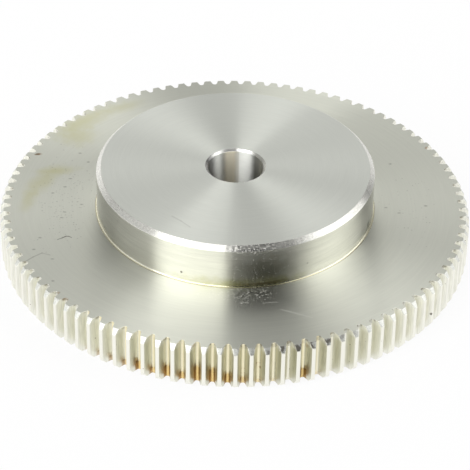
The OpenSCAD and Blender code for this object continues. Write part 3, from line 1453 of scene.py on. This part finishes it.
    def body_map(self, flat: FlatMap, points: np.ndarray, charts: list[Chart]) -> np.ndarray:
        """Flat map of the body's faces: discs for the faces, strips for the hub's wall and the bore.

        Args:
            flat: Layout of the map.
            points: Points of the body by row and column.
            charts: Chart of each band.

        Returns:
            Map coordinates by band, column and corner.
        """
        rows, columns = points.shape[:2]
        closed = np.concatenate([points, points[:, :1]], axis=1)
        steps = np.linalg.norm(np.diff(points[:, 0], axis=0), axis=1)
        laid = np.zeros((rows - 1, columns, 4, 2))
        for chart in set(charts):
            band = np.array([i for i, c in enumerate(charts) if c == chart])
            if chart in flat.DISCS:
                laid[band] = flat.on_disc(self.face_corners(closed, band), chart)
                continue
            run = np.concatenate([[0.0], np.cumsum(steps[band])])
            run = run / run[-1]
            left = np.arange(columns)[None, :] / columns
            right = (np.arange(columns)[None, :] + 1) / columns
            low, high = run[:-1, None], run[1:, None]
            corners = [(left, low), (left, high), (right, high), (right, low)]
            laid[band] = np.stack([flat.on_strip(a, b, chart) for a, b in corners], axis=2)
        return laid

    def ring_map(self, flat: FlatMap, points: np.ndarray) -> np.ndarray:
        """Flat map of the tooth ring: the flat edges on the discs, the rest as strips of teeth.

        Args:
            flat: Layout of the map.
            points: Points of the ring by row and column.

        Returns:
            Map coordinates by band, column and corner.
        """
        rows, columns = points.shape[:2]
        closed = np.concatenate([points, points[:, :1]], axis=1)
        lengths = np.linalg.norm(np.diff(closed[rows // 2], axis=0), axis=1)
        run = np.concatenate([[0.0], np.cumsum(lengths)]) / lengths.sum()
        along = np.stack([run[:-1], run[:-1], run[1:], run[1:]], axis=-1)[None]
        down = np.linalg.norm(np.diff(points[:, 0], axis=0), axis=1)
        fall = np.concatenate([[0.0], np.cumsum(down)]) / down.sum()
        across = np.stack([fall[:-1], fall[1:], fall[1:], fall[:-1]], axis=-1)[:, None]
        laid = flat.on_teeth(np.broadcast_to(along, (rows - 1, columns, 4)),
                             np.broadcast_to(across, (rows - 1, columns, 4)))
        for band, chart in ((0, Chart.HUB_FACE), (rows - 2, Chart.PLAIN_FACE)):
            laid[band] = flat.on_disc(self.face_corners(closed, band), chart)
        return laid

    def dress(self, mesh: bpy.types.Mesh, effects: Effects) -> None:
        """Gives each zone of the mesh its finish.

        Args:
            mesh: The gear's mesh.
            effects: The shared node groups.
        """
        finishes = {
            Zone.WEB: WebSteel(), Zone.HUB_END: FacedSteel(), Zone.HUB_SIDE: HubSteel(),
            Zone.BORE: BoredSteel(), Zone.TEETH: HobbedSteel(),
        }
        for zone in Zone:
            mesh.materials.append(finishes[zone].make(effects))

    def build(self, effects: Effects) -> bpy.types.Object:
        """Builds the gear, dresses it and puts it in the place of its solid.

        Args:
            effects: The shared node groups.

        Returns:
            The finished piece.
        """
        mesh = self.mesh()
        self.dress(mesh, effects)
        piece = bpy.data.objects.new("gear_steel", mesh)
        bpy.context.scene.collection.objects.link(piece)
        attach(piece, BODY)
        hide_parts(GEAR_NODE)
        return piece


@dataclass(frozen=True)
class WallLight:
    """How bright the tent is in one direction, counted from the front to the right, at three heights."""

    bearing: float
    low: float
    middle: float
    high: float


@dataclass
class Studio:
    """Tent of light and dark panels that the metal mirrors, a white floor, and the photograph's camera."""

    walls: tuple[WallLight, ...] = (
        WallLight(-180.0, 1.5, 1.1, 0.7), WallLight(-155.0, 1.7, 0.6, 0.7), WallLight(-140.0, 1.4, 0.1, 0.6),
        WallLight(-110.0, 0.75, 0.5, 0.5), WallLight(-87.0, 1.3, 0.65, 0.7), WallLight(-82.0, 1.35, 0.7, 3.0),
        WallLight(-68.5, 1.4, 0.8, 3.0), WallLight(-66.0, 1.4, 3.1, 3.0), WallLight(-64.5, 1.4, 3.1, 3.0),
        WallLight(-62.0, 2.7, 3.1, 3.0), WallLight(-10.0, 2.2, 2.8, 2.6), WallLight(-3.0, 0.0, 0.0, 0.2),
        WallLight(22.0, 0.0, 0.0, 0.0), WallLight(46.0, 0.0, 0.0, 0.0), WallLight(56.0, 0.85, 0.35, 0.0),
        WallLight(70.0, 1.7, 1.7, 0.3), WallLight(90.0, 1.7, 2.4, 1.9), WallLight(115.0, 1.5, 2.1, 1.9),
        WallLight(125.0, 0.15, 0.4, 1.2), WallLight(140.0, 0.65, 0.1, 0.6), WallLight(155.0, 1.5, 0.5, 0.4),
        WallLight(180.0, 1.5, 1.1, 0.7),
    )
    middle_from: float = 14.0
    middle_to: float = 26.0
    high_from: float = 44.0
    high_to: float = 60.0
    overhead: float = 0.35
    overhead_from: float = 68.0
    overhead_to: float = 78.0
    floor_r: float = 3000.0
    floor_drop: float = 0.03
    floor_white: float = 0.92
    floor_glow: float = 0.92
    # Painted shadow on the floor: no glow inside shade_r, full glow outside glow_r
    shade_r: float = 44.0
    glow_r: float = 49.5
    focal_px: float = 2188.5
    frame_px: float = 470.0
    sensor: float = 36.0
    bearing: float = -0.84
    elevation: float = 36.076
    roll: float = 1.08
    distance: float = 476.68
    face_height: float = FACE_WIDTH
    clip_m: tuple[float, float] = (0.01, 20.0)
    face_centre_px: tuple[float, float] = (234.915, 203.329)

    def light(self) -> None:
        """Lights the gear by the tent: brightness by bearing at three heights, one level overhead, and
        white to the camera, so that the ground behind the gear stays white.
        """
        world = bpy.data.worlds.new("light tent")
        bpy.context.scene.world = world
        w = blank_nodes(world)
        way = w.node("SeparateXYZ", {0: w.node("TexCoord").outputs["Generated"]}).outputs
        bearing = w.math("ARCTAN2", way[0], w.product(way[1], -1.0))
        turn = w.math("MULTIPLY_ADD", bearing, 0.5 / math.pi, 0.5)
        low = self.round_walls(w, turn, [wall.low for wall in self.walls])
        middle = self.round_walls(w, turn, [wall.middle for wall in self.walls])
        high = self.round_walls(w, turn, [wall.high for wall in self.walls])
        tent = w.mix(self.rise(w, way[2], self.middle_from, self.middle_to), low, middle)
        tent = w.mix(self.rise(w, way[2], self.high_from, self.high_to), tent, high)
        above = self.rise(w, way[2], self.overhead_from, self.overhead_to)
        tent = w.mix(above, tent, (self.overhead,) * 3)
        seen = w.node("LightPath").outputs["Is Camera Ray"]
        shown = w.mix(seen, tent, (1.0, 1.0, 1.0))
        glow = w.node("Background", {"Color": shown, "Strength": 1.0})
        w.node("OutputWorld", {"Surface": glow.outputs[0]})

    def round_walls(self, w: Wiring, turn: Socket, levels: list[float]) -> Socket:
        """Brightness of the walls at one height.

        Args:
            w: Nodes of the world.
            turn: Bearing as a share of a whole turn, with the front at a half.
            levels: Level of each wall.

        Returns:
            The brightness as a colour.
        """
        ramp = w.node("ValToRGB", {0: turn})
        stops = ramp.color_ramp.elements
        while len(stops) < len(levels):
            stops.new(0.5)
        for stop, wall, level in zip(stops, self.walls, levels):
            stop.position = wall.bearing / 360.0 + 0.5
            stop.color = (level, level, level, 1.0)
        return ramp.outputs[0]

    @staticmethod
    def rise(w: Wiring, up: Socket, start: float, end: float) -> Socket:
        """Smooth step between two heights above the horizon, in degrees."""
        return w.smooth(up, math.sin(math.radians(start)), math.sin(math.radians(end)))

    def lay_floor(self) -> bpy.types.Object:
        """Lays a white floor that takes the gear's shadow, with a painted shadow under the gear: its glow is
        taken away inside a disc round the axis.

        Returns:
            The floor.
        """
        side = self.floor_r * MM
        corners = np.array([[-1, -1], [1, -1], [1, 1], [-1, 1]], float) * side
        drop = np.full((4, 1), -self.floor_drop * MM)
        mesh = bpy.data.meshes.new("floor")
        mesh.from_pydata(np.concatenate([corners, drop], axis=1).tolist(), [], [(0, 1, 2, 3)])
        material = bpy.data.materials.new("white floor")
        w = blank_nodes(material)
        white = (self.floor_white,) * 3
        lit = w.node("BsdfDiffuse", {"Color": white})
        bright = w.node("Emission", {"Color": (1.0, 1.0, 1.0), "Strength": 1.0})
        path = w.node("LightPath").outputs
        seen = w.math("MAXIMUM", path["Is Camera Ray"], path["Is Glossy Ray"])
        seen = w.math("MAXIMUM", seen, path["Is Transmission Ray"])
        place = w.scaled(w.node("TexCoord").outputs["Object"], 1.0 / MM)
        # Painted shadow: the floor's glow fades out inside a disc round the axis, from glow_r in to shade_r
        outside_painted_shadow = w.smooth(w.measure("LENGTH", place), self.shade_r, self.glow_r)
        share = w.product(seen, outside_painted_shadow, self.floor_glow)
        both = w.node("MixShader", {0: share, 1: lit.outputs[0], 2: bright.outputs[0]})
        w.node("OutputMaterial", {"Surface": both.outputs[0]})
        mesh.materials.append(material)
        floor = bpy.data.objects.new("floor", mesh)
        bpy.context.scene.collection.objects.link(floor)
        return floor

    def set_camera(self) -> bpy.types.Object:
        """Sets the camera so that the middle of the gear's face lands on its pixel of the photograph.

        Returns:
            The camera.
        """
        turn, rise = math.radians(self.bearing), math.radians(self.elevation)
        back = Vector((math.sin(turn) * math.cos(rise), -math.cos(turn) * math.cos(rise), math.sin(rise)))
        right = Vector((math.cos(turn), math.sin(turn), 0.0))
        up = back.cross(right)
        lean = math.radians(self.roll)
        right, up = right * math.cos(lean) + up * math.sin(lean), up * math.cos(lean) - right * math.sin(lean)
        middle = self.frame_px / 2
        across = (self.face_centre_px[0] - middle) / self.focal_px
        down = (self.face_centre_px[1] - middle) / self.focal_px
        sight = (right * across - up * down - back).normalized()
        place = Vector((0.0, 0.0, self.face_height)) - sight * self.distance
        data = bpy.data.cameras.new("camera")
        data.sensor_width = self.sensor
        data.lens = self.sensor * self.focal_px / self.frame_px
        data.clip_start, data.clip_end = self.clip_m
        camera = bpy.data.objects.new("camera", data)
        turned = Matrix((right, up, back)).transposed().to_4x4()
        camera.matrix_world = Matrix.Translation(place * MM) @ turned
        bpy.context.scene.collection.objects.link(camera)
        bpy.context.scene.camera = camera
        return camera


def main() -> None:
    """Builds the studio and the gear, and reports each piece."""
    logging.basicConfig(level=logging.INFO, format="%(name)s: %(message)s")
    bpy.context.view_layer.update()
    bpy.context.scene.view_settings.view_transform = "Standard"
    studio = Studio()
    studio.light()
    studio.lay_floor()
    studio.set_camera()
    log.info("the light tent, the floor and the camera are set")
    sizes = read_sizes()
    teeth = ToothRing(sizes["tip_r"])
    body = TurnedBody(sizes["length"], sizes["bore_r"])
    piece = SpurGear(teeth, body).build(Effects())
    mesh = piece.data
    log.info("%s has %d vertices and %d faces", piece.name, len(mesh.vertices), len(mesh.polygons))


if __name__ == "__main__":
    main()
